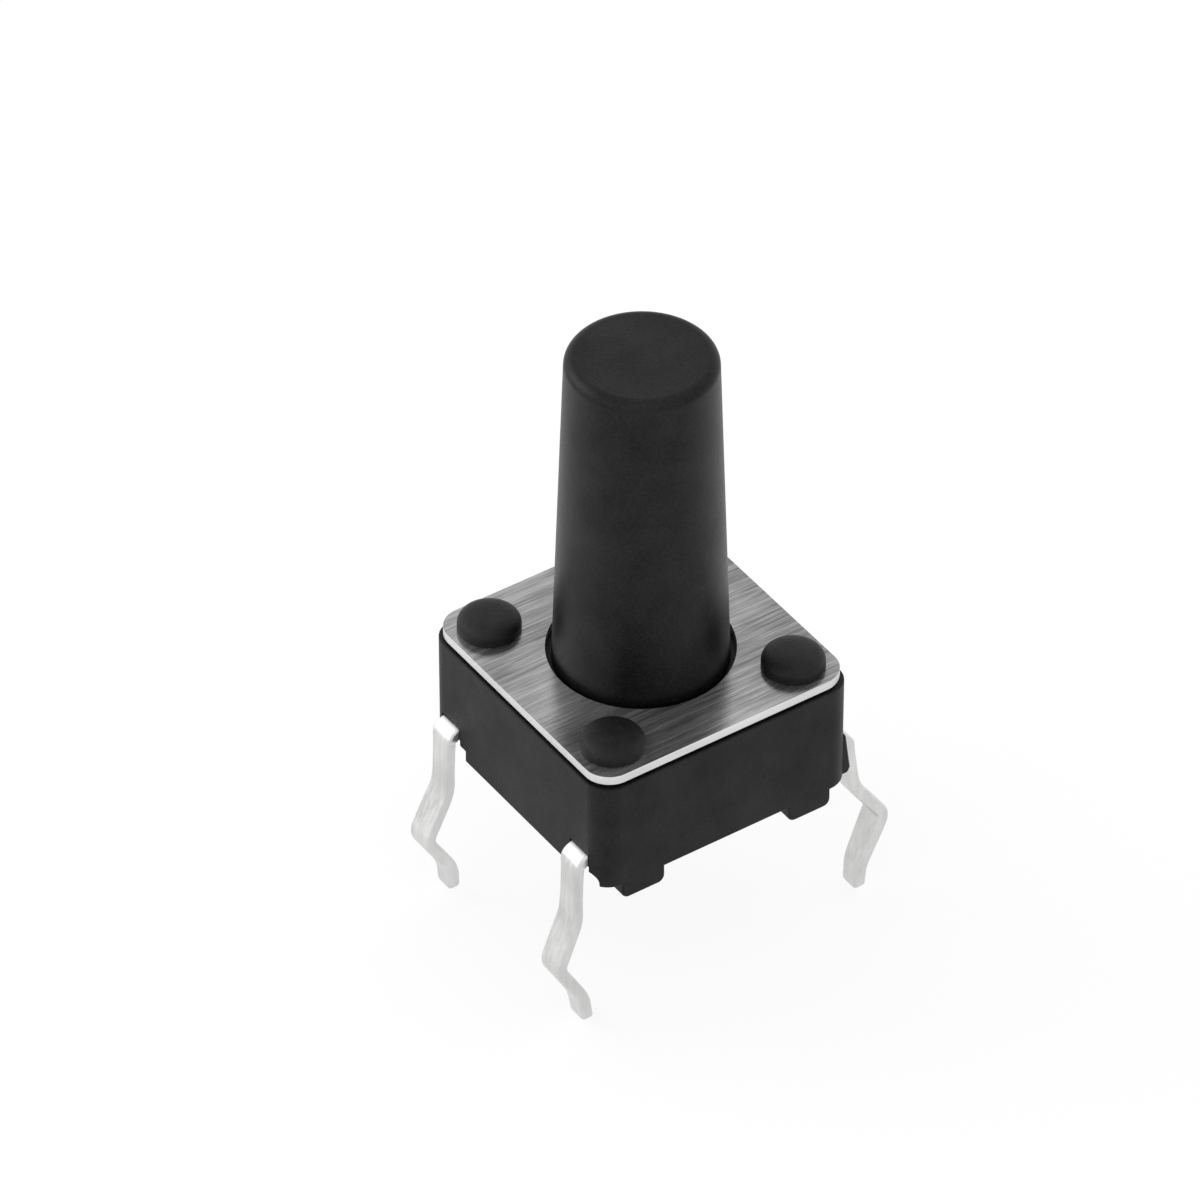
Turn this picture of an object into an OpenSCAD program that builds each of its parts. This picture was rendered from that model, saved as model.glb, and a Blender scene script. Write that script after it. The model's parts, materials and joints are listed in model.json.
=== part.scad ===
// Tactile push button switch for a circuit board, in millimetres.
// +Z is the way the button stands, X is the way the two legs of a terminal lie apart.
// The origin is the middle of the plane on which the four pads stand on the board.

/* [Body] */
// Outside width of the square body
body_w = 6; // [5:0.1:8]
// Radius of the body's upright corners
body_corner_r = 0.5; // [0.2:0.05:1]
// Height of the body's top, on which the cover plate lies
body_top = 3; // [2.5:0.05:4]
// Height of the underside above the circuit board
underside_z = 0.38; // [0.2:0.02:0.6]
// Height of the floor inside the body
floor_z = 1.08; // [0.9:0.02:1.4]
// Wall left between the round chamber and the middle of a side face
chamber_wall = 0.8; // [0.6:0.05:1.2]

/* [Pads] */
// Distance between a pad's outer end and the body's face
pad_end_in = 0.52; // [0.4:0.01:1]
// Length of a pad
pad_length = 1; // [0.6:0.01:1.4]
// How far a pad reaches in from the body's face
pad_depth = 0.9; // [0.4:0.05:1.4]
// Rounding of a pad's lower corners
pad_round_r = 0.16; // [0.05:0.01:0.25]

/* [Leg notches and shoulders] */
// How far a notch reaches from its leg's middle towards the part's middle
notch_in = 0.52; // [0.4:0.01:0.7]
// How far a left notch reaches from its leg's middle towards the corner
notch_out = 0.55; // [0.4:0.01:0.65]
// Height of the notch's ceiling
notch_top_z = 0.68; // [0.5:0.01:0.75]
// Depth of a notch from the body's face
notch_depth = 0.45; // [0.2:0.05:0.55]
// Rounding of a notch's upper corner beside the body's corner
notch_round_r = 0.2; // [0.05:0.01:0.25]
// Depth of the shallow recess above a notch, from which the strip comes out
exit_depth = 0.08; // [0.04:0.01:0.15]
// Clearance round the strip in this recess
exit_gap = 0.05; // [0.02:0.01:0.1]
// How far a right leg's shoulder stands out of the body's face
shoulder_out = 0.12; // [0.05:0.01:0.25]
// Height at which a shoulder has run out into the face
shoulder_top_z = 1.4; // [1.2:0.05:2]
// Height of a shoulder's widest place
shoulder_wide_z = 0.5; // [0.45:0.01:0.8]
// Width of a shoulder
shoulder_w = 0.18; // [0.1:0.01:0.25]

/* [Rivets] */
// Distance of each rivet's middle from the cover plate's edges
rivet_in = 0.81; // [0.65:0.01:1]
// Radius of a rivet's post
rivet_post_r = 0.36; // [0.25:0.01:0.5]
// Radius of a rivet's head
rivet_head_r = 0.64; // [0.45:0.01:0.7]
// Height of a rivet's head above the cover plate
rivet_head_h = 0.38; // [0.2:0.01:0.5]
// Height of the upright rim of a rivet's head
rivet_rim_h = 0.1; // [0.02:0.01:0.2]

/* [Underside] */
// Radius of the pockets through which the mould holds the strips
pocket_r = 0.3; // [0.15:0.01:0.4]
// Distance of these pockets from the middle, along X
pocket_x = 0.95; // [0.5:0.05:1.05]
// Radius of the shallow gate recess in the underside
gate_r = 0.55; // [0.2:0.05:0.8]
// Depth of the gate recess
gate_depth = 0.08; // [0.02:0.01:0.15]

/* [Cover plate] */
// How far the cover plate's edge lies inside the body's
plate_inset = 0.05; // [0:0.01:0.2]
// Thickness of the cover plate
plate_t = 0.2; // [0.1:0.01:0.4]
// Radius of the cover plate's corners
plate_corner_r = 0.55; // [0.2:0.05:1]
// Clearance between the button's foot and the hole that it comes through
hole_gap = 0.125; // [0.05:0.005:0.25]
// Clearance between a rivet's post and its hole
post_gap = 0.03; // [0.01:0.01:0.08]

/* [Button] */
// Height of the button's top above the circuit board
button_top_z = 10.5; // [4.3:0.1:13]
// How far the flange stands out past the button's foot
flange_out = 0.385; // [0.25:0.005:0.6]
// How much smaller the button's radius is at its top than at its foot
button_taper = 0.245; // [0.05:0.005:0.4]
// Rounding of the button's top edge
button_round_r = 0.23; // [0.05:0.01:0.5]
// Thickness of the flange that holds the button in
flange_t = 0.6; // [0.4:0.05:0.8]
// Clearance between the flange and the chamber's wall
flange_side_gap = 0.06; // [0.02:0.01:0.1]
// Clearance between the flange and the cover plate
flange_top_gap = 0.02; // [0.01:0.01:0.05]
// Radius of the nib that presses on the dome
nib_r = 0.6; // [0.4:0.05:1]
// Travel of the button
travel = 0.25; // [0.15:0.05:0.4]

/* [Guide lugs] */
// Width of each of the two lugs that stop the button turning
lug_w = 0.9; // [0.5:0.05:1.2]
// How far a lug stands out of the flange
lug_out = 0.28; // [0.1:0.02:0.35]
// Clearance round a lug in its slot
lug_gap = 0.06; // [0.03:0.01:0.1]
// Room below a lug at the end of its travel
lug_under_gap = 0.1; // [0.05:0.01:0.3]

/* [Snap dome] */
// Clearance between the snap dome's rim and the chamber's wall
dome_side_gap = 0.2; // [0.05:0.01:0.3]
// Height of the snap dome
dome_h = 0.42; // [0.35:0.01:0.6]
// Thickness of the snap dome
dome_t = 0.07; // [0.05:0.01:0.1]

/* [Terminals] */
// Distance between the middle of a terminal's strip and the body's face beside it
strip_in = 0.75; // [0.6:0.01:0.9]
// Thickness of the terminal strip
strip_t = 0.26; // [0.2:0.01:0.35]
// Width of the strip inside the body and where it leaves the body
strip_w = 0.6; // [0.5:0.02:0.7]
// Width of a contact arm
arm_w = 0.55; // [0.4:0.05:0.8]
// Distance between a contact arm's outer side and the chamber's wall, in line with the middle
arm_wall_gap = 0.15; // [0.1:0.01:0.3]
// How far the arms reach past the middle
arm_reach = 1; // [0.8:0.05:1.3]
// Half the length of the raised rail that the dome stands on
rail_half = 0.75; // [0.4:0.05:0.8]
// Height of the rail above the floor
rail_h = 0.08; // [0.04:0.01:0.15]
// Width of the finger that reaches the middle
finger_w = 0.7; // [0.4:0.05:1]
// Radius of the finger's round end
finger_end_r = 0.5; // [0.4:0.05:0.8]
// Radius of the centre contact's raised boss
boss_r = 0.34; // [0.2:0.02:0.4]
// Height of the centre contact's raised boss
boss_h = 0.2; // [0.05:0.01:0.22]

/* [Legs] */
// Width of a leg's neck
neck_w = 0.5; // [0.4:0.01:0.6]
// Width of a leg below its neck
leg_w = 0.6; // [0.5:0.02:0.7]
// Width of a leg at its round tip
tip_w = 0.46; // [0.3:0.02:0.6]
// Length over which the strip narrows to the neck
neck_start = 0.15; // [0.05:0.01:0.3]
// Height at which the narrow neck ends
neck_end_z = -0.1; // [-0.3:0.05:0.4]
// Length over which the neck widens to the leg
neck_blend = 0.7; // [0.1:0.05:1]
// Height below which a leg narrows to its tip
taper_z = -1.8; // [-2.4:0.05:-1.2]
// Radius of the bend where a leg leaves the body, at the middle of its thickness
bend_r = 0.25; // [0.15:0.01:0.4]
// Radius of a leg's other bends, at the middle of its thickness
kink_r = 0.35; // [0.15:0.01:0.6]

/* [Left rear leg] */
// Gap between the upper part of either left leg and the body's face
left_gap = 0.02; // [0.02:0.01:0.2]
// How far the left rear leg's knee lies out from the body's face
rear_knee_out = 0.2; // [0.14:0.01:0.5]
// Height of its knee
rear_knee_z = -0.5; // [-1:0.05:0]
// How far its elbow lies out from the body's face
rear_elbow_out = 0.74; // [0.4:0.01:1.2]
// Height of its elbow
rear_elbow_z = -1.6; // [-2:0.05:-1]
// How far its ankle lies out from the body's face
rear_ankle_out = 0.12; // [0:0.01:0.6]
// Height of its ankle
rear_ankle_z = -2.6; // [-3.1:0.05:-2.3]
// How far its tip lies out from the body's face
rear_tip_out = 0.1; // [-0.1:0.01:0.6]
// Height of its tip
rear_tip_z = -3.2; // [-3.7:0.05:-3.05]

/* [Left front leg] */
// How far the left front leg's knee lies out from the body's face
front_knee_out = 0.2; // [0.14:0.01:0.5]
// Height of its knee
front_knee_z = -0.6; // [-1:0.05:0]
// How far its elbow lies out from the body's face
front_elbow_out = 0.63; // [0.4:0.01:1.2]
// Height of its elbow
front_elbow_z = -1.7; // [-2:0.05:-1]
// How far its ankle lies out from the body's face
front_ankle_out = 0.03; // [0:0.01:0.6]
// Height of its ankle
front_ankle_z = -2.75; // [-3.1:0.05:-2.3]
// How far its tip lies out from the body's face
front_tip_out = -0.07; // [-0.1:0.01:0.6]
// Height of its tip
front_tip_z = -3.4; // [-3.7:0.05:-3.2]

/* [Right legs] */
// Gap between a right leg's upper part and the body's face
right_gap = 0.14; // [0.02:0.01:0.2]
// How far a right leg's knee lies out from the body's face
right_knee_out = 0.46; // [0.3:0.01:0.6]
// Height of a right leg's knee
right_knee_z = -0.45; // [-1:0.05:0]
// How far a right leg's elbow lies out from the body's face
right_elbow_out = 1.19; // [0.6:0.01:1.3]
// Height of a right leg's elbow
right_elbow_z = -1.47; // [-2:0.01:-1]
// How far a right leg's ankle lies out from the body's face
right_ankle_out = 0.68; // [0:0.01:0.9]
// Height of a right leg's ankle
right_ankle_z = -2.65; // [-3.1:0.05:-2.3]
// How far a right leg's tip lies out from the body's face
right_tip_out = 0.64; // [0:0.01:0.9]
// Height of a right leg's tip
right_tip_z = -3.27; // [-3.7:0.01:-3.1]

/* [Hidden] */
$fn = 64;
overlap = 0.1;
arc_steps = 8;
face_x = body_w / 2;
plate_w = body_w - 2 * plate_inset;
plate_top = body_top + plate_t;
chamber_r = face_x - chamber_wall;
flange_r = chamber_r - flange_side_gap;
button_foot_r = flange_r - flange_out;
button_top_r = button_foot_r - button_taper;
plate_hole_r = button_foot_r + hole_gap;
rivet_xy = plate_w / 2 - rivet_in;
pad_outer_x = face_x - pad_end_in;
pad_inner_x = pad_outer_x - pad_length;
dome_r = chamber_r - dome_side_gap;
arm_outer_x = chamber_r - arm_wall_gap;
arm_inner_x = arm_outer_x - arm_w;
strip_bottom = floor_z - strip_t;
strip_mid = floor_z - strip_t / 2;
rail_top = floor_z + rail_h;
dome_top = rail_top + dome_h;
flange_top = body_top - flange_top_gap;
flange_bottom = flange_top - flange_t;
lug_end = flange_r + lug_out;
slot_bottom = flange_bottom - travel - lug_under_gap;
leg_y = face_x - strip_in;
exit_half_w = strip_w / 2 + exit_gap;
shoulder_y = leg_y + exit_half_w;
left_drop_x = face_x + left_gap + strip_t / 2;
right_drop_x = face_x + right_gap + strip_t / 2;
rear_points = [
    [arm_inner_x, strip_mid],
    [left_drop_x, strip_mid],
    [face_x + rear_knee_out, rear_knee_z],
    [face_x + rear_elbow_out, rear_elbow_z],
    [face_x + rear_ankle_out, rear_ankle_z],
    [face_x + rear_tip_out, rear_tip_z]
];
front_points = [
    [arm_inner_x, strip_mid],
    [left_drop_x, strip_mid],
    [face_x + front_knee_out, front_knee_z],
    [face_x + front_elbow_out, front_elbow_z],
    [face_x + front_ankle_out, front_ankle_z],
    [face_x + front_tip_out, front_tip_z]
];
right_points = [
    [arm_inner_x, strip_mid],
    [right_drop_x, strip_mid],
    [face_x + right_knee_out, right_knee_z],
    [face_x + right_elbow_out, right_elbow_z],
    [face_x + right_ankle_out, right_ankle_z],
    [face_x + right_tip_out, right_tip_z]
];

// Unit vector along v
function unit(v) = v / norm(v);

// Points of the arc of radius r that rounds the corner b between a and c
function corner_arc(a, b, c, r) =
    let(
        u = unit(a - b),
        w = unit(c - b),
        half = acos(u * w) / 2,
        middle = b + unit(u + w) * r / sin(half),
        first = b + u * r / tan(half) - middle,
        last = b + w * r / tan(half) - middle
    )
    [for (i = [0:arc_steps]) middle + r * unit(first * (1 - i / arc_steps) + last * i / arc_steps)];

// Open path through the points, its first corner rounded by bend_r and the others by kink_r
function rounded_path(pts) = concat(
    [pts[0]],
    [
        for (i = [1:len(pts) - 2])
            each corner_arc(pts[i - 1], pts[i], pts[i + 1], i == 1 ? bend_r : kink_r)
    ],
    [pts[len(pts) - 1]]
);

// Direction of a path at point i
function heading(path, i) = unit(path[min(i + 1, len(path) - 1)] - path[max(i - 1, 0)]);

// The path moved sideways by d
function side_path(path, d) = [
    for (i = [0:len(path) - 1])
        let(h = heading(path, i))
        path[i] + d * [-h[1], h[0]]
];

// Points of a quarter circle of radius r round the middle c, from the given angle on
function quarter(c, r, start) = [
    for (i = [0:arc_steps])
        let(a = start + 90 * i / arc_steps)
        c + r * [cos(a), sin(a)]
];

// Half of a tongue's outline seen along X, from the strip to the middle of its tip
function tongue_side(tip_z) = concat(
    [
        [strip_w / 2, floor_z + overlap],
        [strip_w / 2, strip_bottom],
        [neck_w / 2, strip_bottom - neck_start],
        [neck_w / 2, neck_end_z],
        [leg_w / 2, neck_end_z - neck_blend],
        [leg_w / 2, taper_z]
    ],
    [for (i = [arc_steps:-1:0]) quarter([0, tip_z + tip_w / 2], tip_w / 2, -90)[i]]
);

// Block with upright rounded corners, standing on z
module rounded_block(w, r, z, h) {
    translate([-w / 2 + r, -w / 2, z])
        cube([w - 2 * r, w, h]);
    translate([-w / 2, -w / 2 + r, z])
        cube([w, w - 2 * r, h]);
    for (sx = [-1, 1], sy = [-1, 1])
        translate([sx * (w / 2 - r), sy * (w / 2 - r), z])
            cylinder(r = r, h = h);
}

// One standing pad at the middle of the part, its length along X
module pad() {
    rotate([90, 0, 0])
        linear_extrude(pad_depth)
            polygon(concat(
                quarter([pad_round_r, pad_round_r], pad_round_r, 180),
                quarter([pad_length - pad_round_r, pad_round_r], pad_round_r, -90),
                [
                    [pad_length, underside_z + overlap],
                    [0, underside_z + overlap]
                ]
            ));
}

// The four pads on which the switch stands on the board
module pads() {
    for (sx = [0, 1], sy = [0, 1])
        mirror([sx, 0, 0])
            mirror([0, sy, 0])
                translate([pad_inner_x, face_x, 0])
                    pad();
}

// The swelling of the side face on the corner side of a right leg
module shoulder() {
    rotate([90, 0, 0])
        linear_extrude(shoulder_w)
            polygon([
                [face_x - notch_depth, underside_z],
                [face_x + shoulder_out / 2, underside_z],
                [face_x + shoulder_out, shoulder_wide_z],
                [face_x, shoulder_top_z],
                [face_x - notch_depth, shoulder_top_z]
            ]);
}

// The notch below one leg's exit and the shallow recess above it, reaching far towards the corner
module notch(far) {
    translate([face_x - notch_depth, leg_y, 0])
        rotate([90, 0, 90])
            linear_extrude(notch_depth + overlap)
                polygon(concat(
                    [
                        [-notch_in, -overlap],
                        [far, -overlap]
                    ],
                    quarter([far - notch_round_r, notch_top_z - notch_round_r], notch_round_r, 0),
                    [[-notch_in, notch_top_z]]
                ));
    translate([face_x - exit_depth, leg_y - exit_half_w, notch_top_z - overlap])
        cube([
            exit_depth + overlap,
            2 * exit_half_w,
            floor_z + exit_gap - notch_top_z + overlap
        ]);
}

// One plastic rivet: a post through the plate and a domed head on it
module rivet() {
    translate([0, 0, body_top - overlap])
        cylinder(r = rivet_post_r, h = plate_t + 2 * overlap);
    dome = rivet_head_h - rivet_rim_h;
    translate([0, 0, plate_top])
        rotate_extrude()
            polygon(concat(
                [[0, 0], [rivet_head_r, 0]],
                [
                    for (i = [0:arc_steps])
                        let(a = 90 * i / arc_steps)
                        [
                            rivet_head_r - dome + dome * cos(a),
                            rivet_rim_h + dome * sin(a)
                        ]
                ],
                [[0, rivet_head_h]]
            ));
}

// The slots in the chamber's wall in which the lugs slide
module lug_slots() {
    for (side = [-1, 1])
        translate([side * (lug_end + lug_gap) / 2, 0, (slot_bottom + body_top + overlap) / 2])
            cube([
                lug_end + lug_gap,
                lug_w + 2 * lug_gap,
                body_top + overlap - slot_bottom
            ], center = true);
}

// The moulding: chamber, pads, shoulders and rivets in one piece
module base() {
    color("#303133")
        difference() {
            union() {
                rounded_block(body_w, body_corner_r, underside_z, body_top - underside_z);
                pads();
                for (sy = [0, 1])
                    mirror([0, sy, 0])
                        translate([0, shoulder_y + shoulder_w, 0])
                            shoulder();
                for (sx = [-1, 1], sy = [-1, 1])
                    translate([sx * rivet_xy, sy * rivet_xy, 0])
                        rivet();
            }
            translate([0, 0, floor_z])
                cylinder(r = chamber_r, h = body_top - floor_z + overlap);
            lug_slots();
            for (sy = [0, 1])
                mirror([0, sy, 0]) {
                    notch(shoulder_y - leg_y);
                    mirror([1, 0, 0])
                        notch(notch_out);
                }
            for (sx = [-1, 1], sy = [-1, 1])
                translate([sx * pocket_x, sy * leg_y, 0])
                    cylinder(r = pocket_r, h = floor_z - strip_t / 2);
            cylinder(r = gate_r, h = underside_z + gate_depth);
            outer_strip();
            centre_strip();
        }
}

// The flat metal cover with its hole for the button
module cover_plate() {
    color("#a6a8ab")
        difference() {
            rounded_block(plate_w, plate_corner_r, body_top, plate_t);
            translate([0, 0, body_top - overlap])
                cylinder(r = plate_hole_r, h = plate_t + 2 * overlap);
            for (sx = [-1, 1], sy = [-1, 1])
                translate([sx * rivet_xy, sy * rivet_xy, body_top - overlap])
                    cylinder(r = rivet_post_r + post_gap, h = plate_t + 2 * overlap);
        }
}

// The button: tall stem, flange with two lugs, nib below
module plunger() {
    color("#2a2b2c") {
        rotate_extrude()
            polygon(concat(
                [
                    [0, dome_top],
                    [nib_r, dome_top],
                    [nib_r, flange_bottom],
                    [flange_r, flange_bottom],
                    [flange_r, flange_top],
                    [button_foot_r, flange_top],
                    [button_foot_r, plate_top]
                ],
                [
                    for (i = [0:arc_steps])
                        let(a = 90 * i / arc_steps)
                        [
                            button_top_r - button_round_r * (1 - cos(a)),
                            button_top_z - button_round_r * (1 - sin(a))
                        ]
                ],
                [[0, button_top_z]]
            ));
        for (side = [-1, 1])
            translate([side * lug_end / 2, 0, flange_bottom + flange_t / 2])
                cube([lug_end, lug_w, flange_t], center = true);
    }
}

// The sprung disc that clicks and closes the contact
module snap_dome() {
    sphere_r = (dome_r * dome_r + dome_h * dome_h) / (2 * dome_h);
    half_angle = asin(dome_r / sphere_r);
    inner_r = sphere_r - dome_t;
    middle_z = dome_top - sphere_r;
    inner_angle = acos((rail_top - middle_z) / inner_r);
    color("#c9ccd0")
        rotate_extrude()
            polygon(concat(
                [
                    for (i = [0:arc_steps])
                        let(a = half_angle * i / arc_steps)
                        [sphere_r * sin(a), middle_z + sphere_r * cos(a)]
                ],
                [
                    for (i = [arc_steps:-1:0])
                        let(a = inner_angle * i / arc_steps)
                        [inner_r * sin(a), middle_z + inner_r * cos(a)]
                ]
            ));
}

// One leg beside the middle of the part, bent along the given points
module leg(points) {
    path = rounded_path(points);
    side = tongue_side(points[len(points) - 1][1]);
    far = max([for (p = points) p[0]]) + strip_t;
    intersection() {
        rotate([90, 0, 0])
            linear_extrude(leg_w + overlap, center = true)
                polygon(concat(
                    side_path(path, strip_t / 2),
                    [for (i = [len(path) - 1:-1:0]) side_path(path, -strip_t / 2)[i]]
                ));
        rotate([90, 0, 90])
            linear_extrude(far)
                polygon(concat(side, [for (i = [len(side) - 1:-1:0]) [-side[i][0], side[i][1]]]));
    }
}

// The strip through the body with a leg at each end, the left one bent along the given points
module strip_with_legs(left_points) {
    translate([-arm_outer_x, -strip_w / 2, strip_bottom])
        cube([2 * arm_outer_x, strip_w, strip_t]);
    leg(right_points);
    mirror([1, 0, 0])
        leg(left_points);
}

// Strip with the two arms and rails on which the dome stands
module outer_strip() {
    translate([0, leg_y, 0])
        strip_with_legs(rear_points);
    for (sx = [0, 1])
        mirror([sx, 0, 0]) {
            translate([arm_inner_x, -arm_reach, strip_bottom])
                cube([arm_outer_x - arm_inner_x, arm_reach + leg_y, strip_t]);
            translate([arm_inner_x, -rail_half, strip_mid])
                cube([arm_outer_x - arm_inner_x, 2 * rail_half, strip_t / 2 + rail_h]);
        }
}

// Strip with the finger and raised boss below the dome's middle
module centre_strip() {
    translate([0, -leg_y, 0])
        strip_with_legs(front_points);
    translate([-finger_w / 2, -leg_y, strip_bottom])
        cube([finger_w, leg_y, strip_t]);
    translate([0, 0, strip_bottom])
        cylinder(r = finger_end_r, h = strip_t);
    translate([0, 0, strip_mid])
        cylinder(r1 = boss_r + strip_t / 4, r2 = boss_r / 2, h = strip_t / 2 + boss_h);
}

// The terminal whose two legs reach the dome's rim
module terminal_outer() {
    color("#d6d7d8")
        outer_strip();
}

// The terminal whose two legs reach the contact below the dome's middle
module terminal_centre() {
    color("#d2d3d5")
        centre_strip();
}

base();
cover_plate();
plunger();
snap_dome();
terminal_outer();
terminal_centre();
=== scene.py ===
"""Looks of the tactile push button switch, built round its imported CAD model.

Shapes are modelled at 1 unit to the millimetre and brought to metres when they are finished.
+Z is the way the button stands, X the way the two legs of one terminal lie apart, and the
origin is the middle of the plane in which the four pads stand on the circuit board.
"""

import json
import logging
import math
from dataclasses import dataclass
from enum import Enum
from typing import Callable, Sequence

import bpy
from mathutils import Matrix, Vector

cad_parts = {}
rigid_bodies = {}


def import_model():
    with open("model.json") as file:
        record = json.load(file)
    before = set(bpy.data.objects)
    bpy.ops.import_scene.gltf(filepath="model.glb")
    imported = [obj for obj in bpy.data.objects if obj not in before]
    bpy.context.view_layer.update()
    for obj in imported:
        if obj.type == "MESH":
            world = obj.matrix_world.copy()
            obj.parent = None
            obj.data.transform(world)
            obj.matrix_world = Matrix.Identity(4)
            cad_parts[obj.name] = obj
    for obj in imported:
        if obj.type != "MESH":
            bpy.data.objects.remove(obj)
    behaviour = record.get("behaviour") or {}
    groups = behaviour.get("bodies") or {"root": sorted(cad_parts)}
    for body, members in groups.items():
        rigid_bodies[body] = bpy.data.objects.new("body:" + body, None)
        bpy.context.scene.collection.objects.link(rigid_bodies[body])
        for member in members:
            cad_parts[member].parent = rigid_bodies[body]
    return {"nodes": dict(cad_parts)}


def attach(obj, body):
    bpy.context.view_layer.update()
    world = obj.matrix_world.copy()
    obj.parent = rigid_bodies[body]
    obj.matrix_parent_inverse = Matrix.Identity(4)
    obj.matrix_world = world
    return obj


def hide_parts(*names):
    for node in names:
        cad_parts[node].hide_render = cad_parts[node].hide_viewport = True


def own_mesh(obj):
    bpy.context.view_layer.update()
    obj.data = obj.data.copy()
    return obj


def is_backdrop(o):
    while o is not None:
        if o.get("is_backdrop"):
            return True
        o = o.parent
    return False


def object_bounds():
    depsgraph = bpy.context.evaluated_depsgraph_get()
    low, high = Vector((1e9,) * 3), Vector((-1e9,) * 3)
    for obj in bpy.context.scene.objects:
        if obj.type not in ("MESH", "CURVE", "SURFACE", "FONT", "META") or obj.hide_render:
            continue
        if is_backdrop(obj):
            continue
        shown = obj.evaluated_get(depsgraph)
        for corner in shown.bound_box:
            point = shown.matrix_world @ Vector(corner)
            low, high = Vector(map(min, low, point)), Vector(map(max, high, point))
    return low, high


# Metres in a millimetre
MM = 0.001
# Distance below which two points count as one, in millimetres
NEAR = 1e-4
# How far a cutting solid reaches past what it cuts
PAST = 1.0
# How deep a solid is sunk into the one that it is fused to
ROOT = 0.2
# Steps round the small roundings of the moulding
ROUND_STEPS = 8
# Edges that turn by more than this stay crisp when a piece is shaded, in degrees
CRISP_ANGLE = 32.0
# Edges along a strip are shorter than this share of its thickness
EDGE_SHARE = 0.8
# Range in which most of the sum of two noises lies
SUM_RANGE = (0.7, 1.3)
LOG = logging.getLogger("switch")

Point2 = tuple[float, float]
Point3 = tuple[float, float, float]
Socket = bpy.types.NodeSocket


class Join(Enum):
    """How one solid meets another."""

    FUSE = "UNION"
    CUT = "DIFFERENCE"
    COMMON = "INTERSECT"


class Body(Enum):
    """The rigid bodies of the switch."""

    HOUSING = "housing"
    BUTTON = "button"


class Axis(Enum):
    """The way a slab gets its depth."""

    X = (1.0, 0.0, 0.0)
    Y = (0.0, 1.0, 0.0)
    Z = (0.0, 0.0, 1.0)


class Slot(Enum):
    """The record's material slots."""

    BODY = "body_plastic"
    BUTTON = "button_plastic"
    COVER = "cover_metal"
    DOME = "spring_steel"
    STRIP = "plated_strip"


# Modelling bench


def focus(obj: bpy.types.Object) -> None:
    """Makes obj the only selected object, and the active one.

    Args:
        obj: the object that the next operator works on.
    """
    bpy.ops.object.select_all(action="DESELECT")
    obj.select_set(True)
    bpy.context.view_layer.objects.active = obj


def place_applied(name: str) -> bpy.types.Object:
    """Names the object just added and puts its place into its mesh.

    Args:
        name: the object's name.

    Returns:
        The active object, at the origin.
    """
    obj = bpy.context.object
    obj.name = name
    obj.data.name = name
    bpy.ops.object.transform_apply(location=True, rotation=True, scale=True)
    return obj


def block(name: str, low: Point3, high: Point3) -> bpy.types.Object:
    """Box between two corners.

    Args:
        name: the object's name.
        low: its lowest corner.
        high: its highest corner.

    Returns:
        The box.
    """
    bpy.ops.object.select_all(action="DESELECT")
    middle = [(a + b) / 2 for a, b in zip(low, high)]
    size = [b - a for a, b in zip(low, high)]
    bpy.ops.mesh.primitive_cube_add(size=1, location=middle, scale=size)
    return place_applied(name)


def post(
    name: str,
    radius: float,
    low: float,
    high: float,
    at: Point2 = (0.0, 0.0),
    sides: int = 96,
) -> bpy.types.Object:
    """Upright round post.

    Args:
        name: the object's name.
        radius: its radius.
        low: height of its lower end.
        high: height of its upper end.
        at: its place in X and Y.
        sides: number of its side faces.

    Returns:
        The post.
    """
    bpy.ops.object.select_all(action="DESELECT")
    bpy.ops.mesh.primitive_cylinder_add(
        vertices=sides, radius=radius, depth=high - low, location=(at[0], at[1], (low + high) / 2)
    )
    return place_applied(name)


def chain(name: str, points: Sequence[Point3]) -> bpy.types.Object:
    """Chain of edges drawn from point to point by extruding one vertex.

    Args:
        name: the object's name.
        points: the chain's points.

    Returns:
        The chain, left in edit mode with all of it selected.
    """
    bpy.ops.object.select_all(action="DESELECT")
    bpy.ops.mesh.primitive_plane_add(size=1, location=points[0])
    obj = place_applied(name)
    bpy.ops.object.mode_set(mode="EDIT")
    bpy.ops.mesh.select_mode(type="VERT")
    bpy.ops.mesh.select_all(action="SELECT")
    bpy.ops.mesh.merge(type="CENTER")
    for here, there in zip(points, points[1:]):
        step = Vector(there) - Vector(here)
        bpy.ops.mesh.extrude_vertices_move(TRANSFORM_OT_translate={"value": tuple(step)})
    bpy.ops.mesh.select_all(action="SELECT")
    return obj


def close_shell(obj: bpy.types.Object) -> bpy.types.Object:
    """Merges doubled points, turns the faces outwards and leaves edit mode.

    Args:
        obj: the object in edit mode.

    Returns:
        The same object.
    """
    bpy.ops.mesh.select_all(action="SELECT")
    bpy.ops.mesh.remove_doubles(threshold=NEAR)
    bpy.ops.mesh.normals_make_consistent(inside=False)
    bpy.ops.object.mode_set(mode="OBJECT")
    return obj


def turned(name: str, profile: Sequence[Point2], steps: int = 128) -> bpy.types.Object:
    """Solid turned about the Z axis.

    Args:
        name: the object's name.
        profile: radius and height of each point of its outline, from axis to axis or closed.
        steps: number of steps round the axis.

    Returns:
        The closed solid.
    """
    obj = chain(name, [(r, 0.0, z) for r, z in profile])
    bpy.ops.mesh.spin(steps=steps, angle=math.tau, center=(0, 0, 0), axis=(0, 0, 1))
    return close_shell(obj)


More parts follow.
